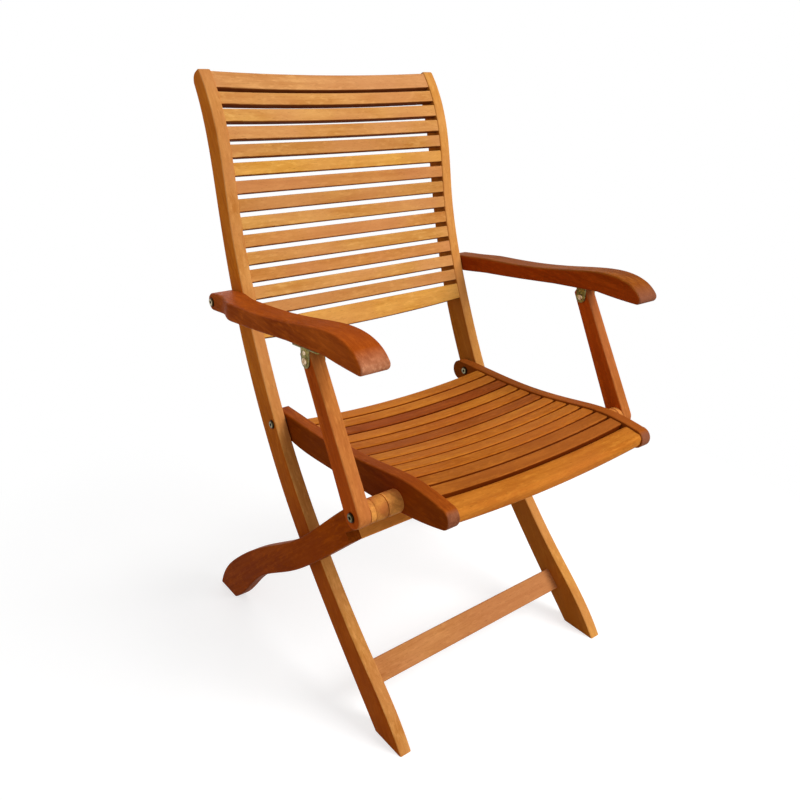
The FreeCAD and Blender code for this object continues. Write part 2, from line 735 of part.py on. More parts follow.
# Wooden spacers on the front pivot, and washers between the boards at the other two pivots.
bolt_radius = "dims.bolt_diameter / 2"
bore_radius = "dims.bolt_diameter / 2 + dims.running_clearance"
keep_group([tube("long_spacer", "front", rail_outer,
                 "dims.board_thickness + 2 * dims.side_gap - dims.face_gap", "dims.spacer_radius",
                 bore_radius)], "front_pivot_spacers")
keep_group([tube("spacer_disc", "front", "%s + dims.face_gap" % leg_outer,
                 "dims.spacer_disc_thickness - 2 * dims.face_gap", "dims.spacer_radius", bore_radius)],
           "front_pivot_discs")
washer_thickness = "dims.side_gap - dims.face_gap"
keep_group([tube("seat_washer", "seat", "%s + dims.face_gap" % rail_outer, washer_thickness,
                 "dims.washer_radius", bore_radius)], "seat_pivot_washers")
keep_group([tube("arm_washer", "arm", stile_outer, washer_thickness, "dims.washer_radius", bore_radius)],
           "arm_pivot_washers")


# Pivot bolts with a low round head outside and a round nut inside.
def bolt(name, spot, start, end):
    shank = rod(name + "_shank", spot, "%s - dims.nut_height" % start,
                "%s - (%s) + dims.nut_height" % (end, start), bolt_radius)
    cap = rod(name + "_head", spot, end, "dims.bolt_head_height", "dims.bolt_head_radius")
    return fused(name, [shank, cap])


def nut(name, spot, start):
    return tube(name, spot, "%s - dims.nut_height" % start, "dims.nut_height", "dims.nut_radius",
                bore_radius)


for name, spot, start, end in (("seat_pivot", "seat", rail_inner, stile_outer),
                               ("arm_pivot", "arm", stile_inner, arm_tail_outer),
                               ("front_pivot", "front", rail_inner, post_outer)):
    keep_group([bolt(name + "_bolt", spot, start, end + " + dims.face_gap")], name + "_bolts")
    keep_group([nut(name + "_nut", spot, start + " - dims.face_gap")], name + "_nuts")

# Stop pegs, set in the stiles and reaching into the grooves of the rear legs.
keep_group([rod("peg", "peg", stile_inner, "dims.board_thickness + dims.side_gap + dims.peg_reach",
                "dims.peg_radius")], "stop_pegs")

doc.recompute()
failed = [item.Name for item in doc.Objects if "Invalid" in item.State or "Error" in item.State]
failed += [item.Label for item in nodes if item.Shape.isNull() or not item.Shape.isValid()]
if failed:
    raise ValueError("failed: " + ", ".join(failed))

os.makedirs("parts", exist_ok=True)
for item in nodes:
    item.Shape.exportStep("parts/%s.step" % item.Label)
print("%d nodes" % len(nodes))
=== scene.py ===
import bpy
import math
from mathutils import Matrix, Vector


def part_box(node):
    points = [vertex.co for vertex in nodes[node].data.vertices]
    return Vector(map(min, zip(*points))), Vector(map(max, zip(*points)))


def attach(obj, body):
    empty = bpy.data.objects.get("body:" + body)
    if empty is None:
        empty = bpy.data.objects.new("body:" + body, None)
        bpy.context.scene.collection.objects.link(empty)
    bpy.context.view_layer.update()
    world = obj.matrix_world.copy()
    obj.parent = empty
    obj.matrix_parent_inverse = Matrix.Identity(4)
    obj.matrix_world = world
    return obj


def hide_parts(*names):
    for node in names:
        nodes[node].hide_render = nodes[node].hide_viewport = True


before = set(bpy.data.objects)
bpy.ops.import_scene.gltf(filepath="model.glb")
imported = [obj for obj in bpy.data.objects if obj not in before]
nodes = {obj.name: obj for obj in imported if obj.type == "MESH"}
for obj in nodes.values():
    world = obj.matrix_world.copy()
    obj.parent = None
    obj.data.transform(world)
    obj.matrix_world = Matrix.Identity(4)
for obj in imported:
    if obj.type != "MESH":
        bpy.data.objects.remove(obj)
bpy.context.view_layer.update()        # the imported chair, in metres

scene = bpy.context.scene
quarterTurn = math.radians(90)
print("chair frame loaded:", len(nodes), "nodes")


# camera at the photo's viewing angle, angles in degrees
view = {
    "place": (-0.7749, -0.9144, 0.9608),
    "yaw": -38.409, "pitch": -23.593, "roll": 1.43,
    "lens": 35.0, "sensor": 36,
}
cameraData = bpy.data.cameras.new("chairCamera")
cameraData.lens = view["lens"]
cameraData.sensor_width = view["sensor"]
camera = bpy.data.objects.new("chairCamera", cameraData)
scene.collection.objects.link(camera)
camera.matrix_world = (Matrix.Translation(view["place"])
                       @ Matrix.Rotation(math.radians(view["yaw"]), 4, "Z")
                       @ Matrix.Rotation(quarterTurn + math.radians(view["pitch"]), 4, "X")
                       @ Matrix.Rotation(math.radians(view["roll"]), 4, "Z"))
scene.camera = camera
print("camera placed")


# helpers for shader nodes
mixSockets = {"share": 0, "first": 6, "second": 7, "result": 2}      # of a Mix node for colours


def clearedTree(owner):
    owner.use_nodes = True
    owner.node_tree.nodes.clear()
    return owner.node_tree


def feed(tree, value, socket):   # links another socket, or sets a plain value
    if isinstance(value, bpy.types.NodeSocket):
        tree.links.new(value, socket)
    else:
        socket.default_value = value


def sums(tree, operation, first, second=0.0):
    node = tree.nodes.new("ShaderNodeMath")
    node.operation = operation
    feed(tree, first, node.inputs[0])
    feed(tree, second, node.inputs[1])
    return node.outputs[0]


def vectorSums(tree, operation, first, second=None):     # gives both outputs, Vector and Value
    node = tree.nodes.new("ShaderNodeVectorMath")
    node.operation = operation
    feed(tree, first, node.inputs[0])
    if second is not None:
        feed(tree, second, node.inputs[1])
    return node.outputs


def ranged(tree, value, low, high, outLow=0.0, outHigh=1.0):
    node = tree.nodes.new("ShaderNodeMapRange")
    tree.links.new(value, node.inputs["Value"])
    limits = {"From Min": low, "From Max": high, "To Min": outLow, "To Max": outHigh}
    for label, number in limits.items():
        node.inputs[label].default_value = number
    return node.outputs["Result"]


def blended(tree, share, first, second, mode="MIX"):
    node = tree.nodes.new("ShaderNodeMix")
    node.data_type = "RGBA"
    node.blend_type = mode
    feed(tree, share, node.inputs[mixSockets["share"]])
    feed(tree, first, node.inputs[mixSockets["first"]])
    feed(tree, second, node.inputs[mixSockets["second"]])
    return node.outputs[mixSockets["result"]]


def shaderMix(tree, share, first, second):
    node = tree.nodes.new("ShaderNodeMixShader")
    for value, socket in zip((share, first, second), node.inputs):
        tree.links.new(value, socket)
    return node.outputs[0]


# studio: pale floor, one wide key from the front right, a weak fill, a low lamp behind, even world light
studio = {
    "floorReach": 30, "floorColor": (0.5, 0.5, 0.5, 1), "floorLift": 0.64, "fadeFrom": 0.45, "fadeTo": 1.05,
    "keyPlace": (1.5, -2.4, 2.5), "keySize": 2.2, "keyPower": 104,
    "fillPlace": (-2.2, -1.6, 1.6), "fillSize": 2.0, "fillPower": 5,
    "backPlace": (0.9, 2.9, 1.3), "backSize": 2.4, "backPower": 22,
    "aim": (0, 0, 0.45), "ambient": 0.42, "wall": 1.0, "white": (1, 1, 1, 1),
}


def areaLamp(part):
    lamp = bpy.data.lights.new(part + "Lamp", "AREA")
    lamp.shape = "DISK"
    lamp.size = studio[part + "Size"]
    lamp.energy = studio[part + "Power"]
    item = bpy.data.objects.new(part + "Lamp", lamp)
    scene.collection.objects.link(item)
    item.location = studio[part + "Place"]
    item.visible_camera = False
    aimed = Vector(studio["aim"]) - Vector(studio[part + "Place"])
    item.rotation_euler = aimed.to_track_quat("-Z", "Y").to_euler()


for part in ("key", "fill", "back"):
    areaLamp(part)


def seenDirectly(tree):          # 1 for camera, mirror and glass rays
    path = tree.nodes.new("ShaderNodeLightPath").outputs
    solidRays = sums(tree, "MAXIMUM", path["Is Camera Ray"], path["Is Glossy Ray"])
    return sums(tree, "MAXIMUM", solidRays, path["Is Transmission Ray"])


def background(tree, strength):
    node = tree.nodes.new("ShaderNodeBackground")
    node.inputs["Color"].default_value = studio["white"]
    node.inputs["Strength"].default_value = strength
    return node.outputs[0]


world = bpy.data.worlds.new("studioWorld")
scene.world = world
worldTree = clearedTree(world)
worldLight = shaderMix(worldTree, seenDirectly(worldTree), background(worldTree, studio["ambient"]),
                       background(worldTree, studio["wall"]))
worldOut = worldTree.nodes.new("ShaderNodeOutputWorld")
worldTree.links.new(worldLight, worldOut.inputs["Surface"])

bpy.ops.object.select_all(action="DESELECT")
bpy.ops.mesh.primitive_plane_add(size=studio["floorReach"])
floor = bpy.context.object
floor.name = "studioFloor"
floorPaint = bpy.data.materials.new("paleFloor")
floorTree = clearedTree(floorPaint)
seenFloor = seenDirectly(floorTree)
floorMatt = floorTree.nodes.new("ShaderNodeBsdfDiffuse")
floorMatt.inputs["Color"].default_value = studio["floorColor"]
floorLift = floorTree.nodes.new("ShaderNodeEmission")
floorTree.links.new(sums(floorTree, "MULTIPLY", seenFloor, studio["floorLift"]), floorLift.inputs["Strength"])
floorSum = floorTree.nodes.new("ShaderNodeAddShader")
floorTree.links.new(floorMatt.outputs[0], floorSum.inputs[0])
floorTree.links.new(floorLift.outputs[0], floorSum.inputs[1])
floorPlace = floorTree.nodes.new("ShaderNodeTexCoord")
farOff = vectorSums(floorTree, "LENGTH", floorPlace.outputs["Object"])["Value"]
fadeShare = ranged(floorTree, farOff, studio["fadeFrom"], studio["fadeTo"])      # white far from the chair
farWhite = floorTree.nodes.new("ShaderNodeEmission")
floorLook = shaderMix(floorTree, sums(floorTree, "MULTIPLY", fadeShare, seenFloor), floorSum.outputs[0],
                      farWhite.outputs[0])
floorOut = floorTree.nodes.new("ShaderNodeOutputMaterial")
floorTree.links.new(floorLook, floorOut.inputs["Surface"])
floor.data.materials.append(floorPaint)
scene.view_settings.view_transform = "Standard"
print("studio ready")


# shared shader groups
woodSockets = [("Along", "Vector"), ("Early", "Color"), ("Late", "Color"), ("Blush", "Color"),
               ("Blush Share", "Float"), ("Pores", "Float")]
platedSockets = [("Along", "Vector"), ("Base", "Color"), ("Tint", "Color")]
skinSockets = [("Color", "Color"), ("Roughness", "Float"), ("Height", "Float")]
maskSockets = [("Mask", "Float")]


def newGroup(name, inputs, outputs):
    tree = bpy.data.node_groups.new(name, "ShaderNodeTree")
    for way, sockets in (("INPUT", inputs), ("OUTPUT", outputs)):
        for label, kind in sockets:
            tree.interface.new_socket(label, in_out=way, socket_type="NodeSocket" + kind)
    return tree, tree.nodes.new("NodeGroupInput").outputs, tree.nodes.new("NodeGroupOutput").inputs


def layer(tree, along, look):    # one noise; a stretch below 1 draws it out along the grain
    node = tree.nodes.new("ShaderNodeTexNoise")
    for key in ("scale", "detail", "roughness", "distortion"):
        if key in look:
            node.inputs[key.capitalize()].default_value = look[key]
    if "stretch" in look:
        along = vectorSums(tree, "MULTIPLY", along, (look["stretch"], 1, 1))["Vector"]
    tree.links.new(along, node.inputs["Vector"])
    return node.outputs["Fac"]


def trimmed(tree, value, look):  # 0 at low, 1 at high
    return ranged(tree, value, look["low"], look["high"])


def weighed(tree, mask, look):
    return sums(tree, "MULTIPLY", mask, look["share"])


grainLook = {                    # scales are features per metre
    "streak": {"scale": 110, "stretch": 0.05, "detail": 4, "roughness": 0.55, "distortion": 0.4,
               "low": 0.36, "high": 0.66, "share": 0.5},
    "fibre": {"scale": 520, "stretch": 0.03, "detail": 3, "roughness": 0.6,
              "low": 0.3, "high": 0.7, "share": 0.24},
    "cloud": {"scale": 24, "stretch": 0.5, "detail": 3, "roughness": 0.55,
              "low": 0.36, "high": 0.64, "share": 0.44},
    "fleck": {"scale": 210, "stretch": 0.3, "detail": 3, "low": 0.52, "high": 0.70, "share": 0.5},
    "pore": {"scale": 1250, "stretch": 0.10, "detail": 2, "low": 0.60, "high": 0.72},
    "blush": {"scale": 9, "stretch": 0.7, "detail": 2, "low": 0.40, "high": 0.62},
}
oilLook = {"glossLow": 0.3, "glossHigh": 0.7, "smoothest": 0.36, "roughest": 0.52,
           "poreShade": (0.30, 0.20, 0.13, 1), "poreRough": 0.2, "fibreHeight": 0.5}


def oilGloss(tree, value):
    return ranged(tree, value, oilLook["glossLow"], oilLook["glossHigh"], oilLook["smoothest"],
                  oilLook["roughest"])


grainTree, grainIn, grainOut = newGroup("oiledGrain", woodSockets, skinSockets)
grainNoise = {part: layer(grainTree, grainIn["Along"], look) for part, look in grainLook.items()}
grainMask = {part: trimmed(grainTree, grainNoise[part], look) for part, look in grainLook.items()}
lateParts = {part: weighed(grainTree, grainMask[part], grainLook[part])
             for part in ("streak", "fibre", "cloud", "fleck")}
lateShare = sums(grainTree, "ADD", lateParts["streak"],
                 sums(grainTree, "ADD", lateParts["fibre"], lateParts["cloud"]))
lateShare = sums(grainTree, "SUBTRACT", lateShare, lateParts["fleck"])
woodColor = blended(grainTree, lateShare, grainIn["Early"], grainIn["Late"])
woodColor = blended(grainTree, sums(grainTree, "MULTIPLY", grainMask["blush"], grainIn["Blush Share"]),
                    woodColor, grainIn["Blush"])
poreShare = sums(grainTree, "MULTIPLY", grainMask["pore"], grainIn["Pores"])
woodColor = blended(grainTree, poreShare, woodColor, oilLook["poreShade"], "MULTIPLY")
poreRough = sums(grainTree, "MULTIPLY", poreShare, oilLook["poreRough"])
woodRough = sums(grainTree, "ADD", oilGloss(grainTree, grainNoise["fibre"]), poreRough)
fibreHeight = sums(grainTree, "MULTIPLY", grainNoise["fibre"], oilLook["fibreHeight"])
grainTree.links.new(woodColor, grainOut["Color"])
grainTree.links.new(woodRough, grainOut["Roughness"])
grainTree.links.new(sums(grainTree, "SUBTRACT", fibreHeight, poreShare), grainOut["Height"])

burlLook = {                     # turned wood, mottled in every direction
    "patch": {"scale": 62, "detail": 4, "roughness": 0.6, "distortion": 0.7,
              "low": 0.32, "high": 0.68, "share": 0.66},
    "speck": {"scale": 420, "detail": 3, "roughness": 0.6, "low": 0.4, "high": 0.65, "share": 0.2},
    "blush": {"scale": 60, "detail": 3, "low": 0.46, "high": 0.64},
}
burlTree, burlIn, burlOut = newGroup("burlMottle", woodSockets, skinSockets)
burlNoise = {part: layer(burlTree, burlIn["Along"], look) for part, look in burlLook.items()}
burlMask = {part: trimmed(burlTree, burlNoise[part], look) for part, look in burlLook.items()}
burlShare = sums(burlTree, "ADD", weighed(burlTree, burlMask["patch"], burlLook["patch"]),
                 weighed(burlTree, burlMask["speck"], burlLook["speck"]))
burlColor = blended(burlTree, burlShare, burlIn["Early"], burlIn["Late"])
burlColor = blended(burlTree, sums(burlTree, "MULTIPLY", burlMask["blush"], burlIn["Blush Share"]),
                    burlColor, burlIn["Blush"])
burlTree.links.new(burlColor, burlOut["Color"])
burlTree.links.new(oilGloss(burlTree, burlNoise["speck"]), burlOut["Roughness"])
burlTree.links.new(sums(burlTree, "SUBTRACT", burlNoise["speck"], burlIn["Pores"]), burlOut["Height"])

# rounded edges: partly real wear, partly a painted highlight where the edges catch the light
edgeLook = {"radius": 0.0022, "samples": 4, "low": 0.015, "high": 0.16,
            "break": {"scale": 60, "detail": 3, "low": 0.35, "high": 0.65}}
edgeTree, edgeIn, edgeOut = newGroup("wornEdgeAndHighlight", woodSockets[:1], maskSockets)
roundNormal = edgeTree.nodes.new("ShaderNodeBevel")
roundNormal.samples = edgeLook["samples"]
roundNormal.inputs["Radius"].default_value = edgeLook["radius"]
plainNormal = edgeTree.nodes.new("ShaderNodeNewGeometry")
turnedBy = vectorSums(edgeTree, "DOT_PRODUCT", roundNormal.outputs[0], plainNormal.outputs["Normal"])["Value"]
edgeShare = trimmed(edgeTree, sums(edgeTree, "SUBTRACT", 1.0, turnedBy), edgeLook)
edgeBreak = trimmed(edgeTree, layer(edgeTree, edgeIn["Along"], edgeLook["break"]), edgeLook["break"])
edgeTree.links.new(sums(edgeTree, "MULTIPLY", edgeShare, edgeBreak), edgeOut["Mask"])

# mask of the broad side faces, where the side shade is painted
faceLook = {"low": 0.72, "high": 0.94, "weakest": 0.8,
            "break": {"scale": 24, "stretch": 0.2, "detail": 3, "low": 0.2, "high": 0.7}}
faceTree, faceIn, faceOut = newGroup("broadFace", woodSockets[:1], maskSockets)
facing = faceTree.nodes.new("ShaderNodeTexCoord")
facingParts = faceTree.nodes.new("ShaderNodeSeparateXYZ")
faceTree.links.new(facing.outputs["Normal"], facingParts.inputs[0])
faceShare = trimmed(faceTree, sums(faceTree, "ABSOLUTE", facingParts.outputs["X"]), faceLook)
faceBreak = ranged(faceTree, layer(faceTree, faceIn["Along"], faceLook["break"]),
                   faceLook["break"]["low"], faceLook["break"]["high"], faceLook["weakest"])
faceTree.links.new(sums(faceTree, "MULTIPLY", faceBreak, faceShare), faceOut["Mask"])

platingLook = {"cloud": {"scale": 260, "detail": 3, "low": 0.35, "high": 0.65},
               "grit": {"scale": 2600, "detail": 2}, "smoothest": 0.28, "roughest": 0.48}
platedTree, platedIn, platedOut = newGroup("platedSkin", platedSockets, skinSockets)
platedClouds = layer(platedTree, platedIn["Along"], platingLook["cloud"])
platedClouds = trimmed(platedTree, platedClouds, platingLook["cloud"])
platedRough = ranged(platedTree, platedClouds, 0, 1, platingLook["smoothest"], platingLook["roughest"])
platedTree.links.new(blended(platedTree, platedClouds, platedIn["Base"], platedIn["Tint"]), platedOut["Color"])
platedTree.links.new(platedRough, platedOut["Roughness"])
platedTree.links.new(layer(platedTree, platedIn["Along"], platingLook["grit"]), platedOut["Height"])
print("grain, edge and plating groups built")


# materials
screenCurve = {"full": 255, "toe": 0.04045, "toeSlope": 12.92, "shift": 0.055, "power": 2.4}


def linear(red, green, blue):    # a colour as seen on a screen, made linear
    curve = screenCurve
    parts = [channel / curve["full"] for channel in (red, green, blue)]
    parts = [part / curve["toeSlope"] if part <= curve["toe"]
             else ((part + curve["shift"]) / (1 + curve["shift"])) ** curve["power"] for part in parts]
    return tuple(parts) + (1,)


def startMaterial(name):
    material = bpy.data.materials.new(name)
    tree = clearedTree(material)
    shader = tree.nodes.new("ShaderNodeBsdfPrincipled")
    out = tree.nodes.new("ShaderNodeOutputMaterial")
    tree.links.new(shader.outputs[0], out.inputs["Surface"])
    place = tree.nodes.new("ShaderNodeTexCoord")
    turn = tree.nodes.new("ShaderNodeMapping")
    tree.links.new(place.outputs["Object"], turn.inputs["Vector"])
    return material, tree, shader, turn


def useGroup(tree, group, vector):
    node = tree.nodes.new("ShaderNodeGroup")
    node.node_tree = group
    tree.links.new(vector, node.inputs["Along"])
    return node


def addBump(tree, shader, height, look):
    bump = tree.nodes.new("ShaderNodeBump")
    bump.inputs["Distance"].default_value = look["bumpDistance"]
    bump.inputs["Strength"].default_value = look["bumpStrength"]
    tree.links.new(height, bump.inputs["Height"])
    tree.links.new(bump.outputs[0], shader.inputs["Normal"])


woodTones = {                    # early wood, late wood, blush
    "honey": ((221, 165, 91), (191, 127, 57), (206, 141, 90)),
    "gold": ((229, 171, 83), (201, 136, 52), (212, 148, 84)),
    "tan": ((213, 155, 86), (183, 119, 54), (200, 135, 82)),
    "rose": ((213, 150, 82), (183, 115, 50), (203, 135, 86)),
    "straw": ((220, 162, 92), (190, 124, 60), (206, 140, 86)),
    "blond": ((220, 160, 98), (190, 124, 68), (208, 144, 94)),
    "stile": ((217, 154, 84), (187, 118, 52), (201, 132, 78)),
    "stileFar": ((223, 161, 83), (195, 125, 51), (206, 138, 78)),
    "seatGold": ((208, 130, 46), (176, 98, 28), (190, 108, 42)),
    "seatAmber": ((202, 120, 40), (166, 88, 24), (182, 98, 38)),
    "seatRed": ((172, 90, 32), (130, 60, 18), (152, 72, 30)),
    "seatDusk": ((180, 100, 37), (141, 71, 21), (160, 82, 33)),
    "seatBrown": ((188, 110, 40), (150, 80, 24), (166, 90, 36)),
    "arm": ((190, 92, 24), (144, 60, 12), (165, 75, 26)),
    "armFar": ((162, 90, 28), (122, 58, 14), (142, 74, 30)),
    "rail": ((174, 86, 24), (134, 58, 12), (152, 70, 28)),
    "railFar": ((180, 99, 30), (144, 71, 18), (162, 83, 30)),
    "postFar": ((190, 114, 56), (154, 82, 34), (172, 94, 54)),
    "post": ((206, 130, 64), (172, 97, 41), (190, 108, 58)),
    "leg": ((168, 84, 22), (128, 56, 10), (146, 68, 24)),
    "bar": ((209, 146, 86), (179, 114, 60), (193, 126, 80)),
    "dowel": ((240, 164, 79), (158, 89, 41), (202, 117, 63)),
    "endGrain": ((200, 142, 106), (150, 88, 58), (186, 124, 94)),
    "endGrainFar": ((146, 94, 68), (102, 58, 40), (132, 82, 62)),
    # painted light: a lighter copy of the bar tone for the rear stretcher, which sits in shade under the dowel
    "underBar": ((248, 170, 76), (220, 136, 50), (232, 148, 72)),
}
endTones = {"arm": "endGrain", "armFar": "endGrainFar", "rail": "endGrainFar", "railFar": "endGrainFar"}
sideShadeTints = {                    # painted shade on the broad side faces, set tone by tone; a tint above 1 paints the face lighter
    "stile": (1.22, 0.78, 0.17), "stileFar": (0.66, 0.43, 0.15),
    "post": (0.98, 0.48, 0.13), "postFar": (1.18, 0.68, 0.18),
    "arm": (1.14, 1.17, 1.3), "armFar": (1.28, 0.72, 0.41),
    "rail": (0.72, 0.62, 0.34), "railFar": (0.60, 0.50, 0.30),
    "leg": (1.14, 0.86, 0.10),
}
woodLook = {
    "bumpDistance": 0.00025, "bumpStrength": 0.3, "edgeGain": 0.5,
    "specular": 0.007, "sheen": (1, 0.6, 0.28, 1),
    "pores": 0.35, "blush": 0.6, "endBlush": 1.0, "seedStep": (0.37, 0.11, 0.23),
    "eye": {"inner": 0.014, "outer": 0.026},
    # painted shade round each bolt hole in the wood
    "shadedHole": {"inner": 0.0066, "outer": 0.0088, "shade": (0.22, 0.16, 0.10, 1)},
    "nose": {"way": (0, -1, 0), "low": 0.42, "high": 0.8, "share": 0.8},
    # painted shade along the lower edges of the back slats
    "lowEdgeShade": {"way": (0, -0.31, -0.95), "low": 0.2, "high": 0.55, "share": 1, "shade": (0.28, 0.16, 0.08, 1)},
    # painted shade on the sides of the seat slats in the gaps
    "gapShade": {"way": (0, -1, 0), "low": 0.80, "high": 0.97, "share": 1, "shade": (0.36, 0.20, 0.10, 1)},
    # painted shade towards the foot of the stile
    "foot": {"top": 0.62, "low": 0.28, "shade": (0.58, 0.40, 0.30, 1)},
}


def eyeMask(tree, spot, look):   # 1 round a pivot, seen along X
    place = tree.nodes.new("ShaderNodeTexCoord")
    shifted = vectorSums(tree, "SUBTRACT", place.outputs["Object"], spot)["Vector"]
    sideways = vectorSums(tree, "MULTIPLY", shifted, (0, 1, 1))["Vector"]
    away = vectorSums(tree, "LENGTH", sideways)["Value"]
    return ranged(tree, away, look["inner"], look["outer"], 1.0, 0.0)


def facingMask(tree, look):      # grows as the surface turns to the way given
    place = tree.nodes.new("ShaderNodeTexCoord")
    turned = vectorSums(tree, "DOT_PRODUCT", place.outputs["Normal"], look["way"])["Value"]
    return ranged(tree, turned, look["low"], look["high"], 0.0, look["share"])


def footMask(tree, look):        # 1 near the floor
    place = tree.nodes.new("ShaderNodeTexCoord")
    parts = tree.nodes.new("ShaderNodeSeparateXYZ")
    tree.links.new(place.outputs["Object"], parts.inputs[0])
    return ranged(tree, parts.outputs["Z"], look["top"], look["low"])


def shaded(tree, color, mask, shade):
    return blended(tree, mask, color, shade, "MULTIPLY")


def grainNode(tree, turn, tone, blushShare):
    if tone == "dowel":          # one pattern runs on through spacer, leg eye and disc
        grain = useGroup(tree, burlTree, turn.inputs["Vector"].links[0].from_socket)
    else:
        grain = useGroup(tree, grainTree, turn.outputs[0])
    for label, color in zip(("Early", "Late", "Blush"), woodTones[tone]):
        grain.inputs[label].default_value = linear(*color)
    grain.inputs["Blush Share"].default_value = blushShare
    grain.inputs["Pores"].default_value = woodLook["pores"]
    return grain


def woodMaterial(name, tone, tilt, seed, eye, shadedHoles):
    look = woodLook
    material, tree, shader, turn = startMaterial(name)
    if tilt is not None:         # grain leaves X and runs in the side plane, tilt degrees up from Y
        turn.inputs["Rotation"].default_value = (-math.radians(tilt), 0, -quarterTurn)
    turn.inputs["Location"].default_value = [step * seed for step in look["seedStep"]]
    grain = grainNode(tree, turn, tone, look["blush"])
    edge = useGroup(tree, edgeTree, turn.outputs[0])
    # the rounded edges turn towards the early-wood colour: wear and a painted highlight
    color = blended(tree, sums(tree, "MULTIPLY", edge.outputs["Mask"], look["edgeGain"]),
                    grain.outputs["Color"], linear(*woodTones[tone][0]))
    # painted shade on the broad side faces, lighter where a tint passes 1
    if tone in sideShadeTints:
        face = useGroup(tree, faceTree, turn.outputs[0]).outputs["Mask"]
        color = shaded(tree, color, face, sideShadeTints[tone] + (1,))
    if tone == "stile":          # painted shade: the side of the stile darkens towards the foot
        towardsFoot = sums(tree, "MULTIPLY", face, footMask(tree, look["foot"]))
        color = shaded(tree, color, towardsFoot, look["foot"]["shade"])
    if eye:
        color = blended(tree, eyeMask(tree, eye, look["eye"]), color,
                        grainNode(tree, turn, "dowel", look["blush"]).outputs["Color"])
    if tone in endTones:         # end grain shows on the rounded noses
        color = blended(tree, facingMask(tree, look["nose"]), color,
                        grainNode(tree, turn, endTones[tone], look["endBlush"]).outputs["Color"])
    if name.startswith("back_slat"):               # painted shade along the lower edge of the back slats
        color = shaded(tree, color, facingMask(tree, look["lowEdgeShade"]), look["lowEdgeShade"]["shade"])
    if name.startswith("seat_slat"):               # painted shade on the slat sides that face into the gaps of the seat
        color = shaded(tree, color, facingMask(tree, look["gapShade"]), look["gapShade"]["shade"])
    for shadedHole in shadedHoles:           # painted shade round the rim of a bolt hole
        color = shaded(tree, color, eyeMask(tree, shadedHole, look["shadedHole"]), look["shadedHole"]["shade"])
    tree.links.new(color, shader.inputs["Base Color"])
    tree.links.new(grain.outputs["Roughness"], shader.inputs["Roughness"])
    shader.inputs["Specular IOR Level"].default_value = look["specular"]
    shader.inputs["Specular Tint"].default_value = look["sheen"]
    addBump(tree, shader, grain.outputs["Height"], look)
    return material


platedLook = {"glint": (176, 168, 142), "edgeGain": 0.5, "bumpDistance": 0.00005, "bumpStrength": 0.25,
              "rim": {"inner": 0.0046, "outer": 0.0054}, "socket": {"inner": 0.0024, "outer": 0.0029},
              "shade": (0.16, 0.13, 0.09, 1)}


def platedMaterial(name, base, tint, spot=None):   # spot is the axis of a bolt
    look = platedLook
    material, tree, shader, turn = startMaterial(name)
    skin = useGroup(tree, platedTree, turn.outputs[0])
    skin.inputs["Base"].default_value = linear(*base)
    skin.inputs["Tint"].default_value = linear(*tint)
    shader.inputs["Metallic"].default_value = 1
    # painted highlight: the rounded edges of the plating turn to the glint colour
    edge = useGroup(tree, edgeTree, turn.outputs[0])
    color = blended(tree, sums(tree, "MULTIPLY", edge.outputs["Mask"], look["edgeGain"]),
                    skin.outputs["Color"], linear(*look["glint"]))
    if spot:                     # painted shade round the rim of the head and in the socket
        crown = sums(tree, "SUBTRACT", eyeMask(tree, spot, look["rim"]), eyeMask(tree, spot, look["socket"]))
        color = shaded(tree, color, sums(tree, "SUBTRACT", 1.0, crown), look["shade"])
    tree.links.new(color, shader.inputs["Base Color"])
    tree.links.new(skin.outputs["Roughness"], shader.inputs["Roughness"])
    addBump(tree, shader, skin.outputs["Height"], look)
    return material


boardLooks = {                   # node: (tone, tilt of the grain in the side view)
    "back_stile_right": ("stile", 61), "back_stile_left": ("stileFar", 61),
    "front_stretcher": ("bar", None), "rear_leg_stretcher": ("underBar", None),
    "seat_rail_right": ("rail", 0), "seat_rail_left": ("railFar", 0),
    "rear_leg_right": ("leg", -41), "rear_leg_left": ("leg", -41),
    "armrest_right": ("arm", 4.5), "armrest_left": ("armFar", 4.5),
    "arm_post_right": ("post", 61), "arm_post_left": ("postFar", 61),
    "seat_front_slat": ("seatGold", None),
    "front_pivot_spacers": ("dowel", None), "front_pivot_discs": ("dowel", None),
}
backSlatTones = ["gold", "tan", "honey", "rose", "honey", "rose", "honey", "tan",
                 "rose", "gold", "tan", "honey", "honey", "straw", "blond"]
seatSlatTones = ["seatGold", "seatGold", "seatRed", "seatGold", "seatAmber", "seatDusk",
                 "seatGold", "seatAmber", "seatGold", "seatAmber", "seatBrown", "seatBrown"]
for number, tone in enumerate(backSlatTones, 1):
    boardLooks["back_slat_%02d" % number] = (tone, None)
for number, tone in enumerate(seatSlatTones, 1):
    boardLooks["seat_slat_%02d" % number] = (tone, None)


def middleOf(box):
    return (box[0] + box[1]) / 2


def dress(piece, material):
    piece.data.materials.clear()
    piece.data.materials.append(material)


legEye = middleOf(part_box("front_pivot_discs"))
boltSpots = {pivot: middleOf(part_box(pivot + "_pivot_bolts")) for pivot in ("seat", "arm", "front")}
# the pivot whose bolt holes get painted shade, for each tone
shadedHolePivots = {"stile": "seat", "stileFar": "seat", "rail": "seat", "railFar": "seat",
              "arm": "arm", "armFar": "arm", "post": "front", "postFar": "front"}
for seed, (node, (tone, tilt)) in enumerate(boardLooks.items(), 1):
    eye = legEye if tone == "leg" else None
    shadedHoles = (boltSpots[shadedHolePivots[tone]],) if tone in shadedHolePivots else ()
    dress(nodes[node], woodMaterial(node + "_wood", tone, tilt, seed, eye, shadedHoles))

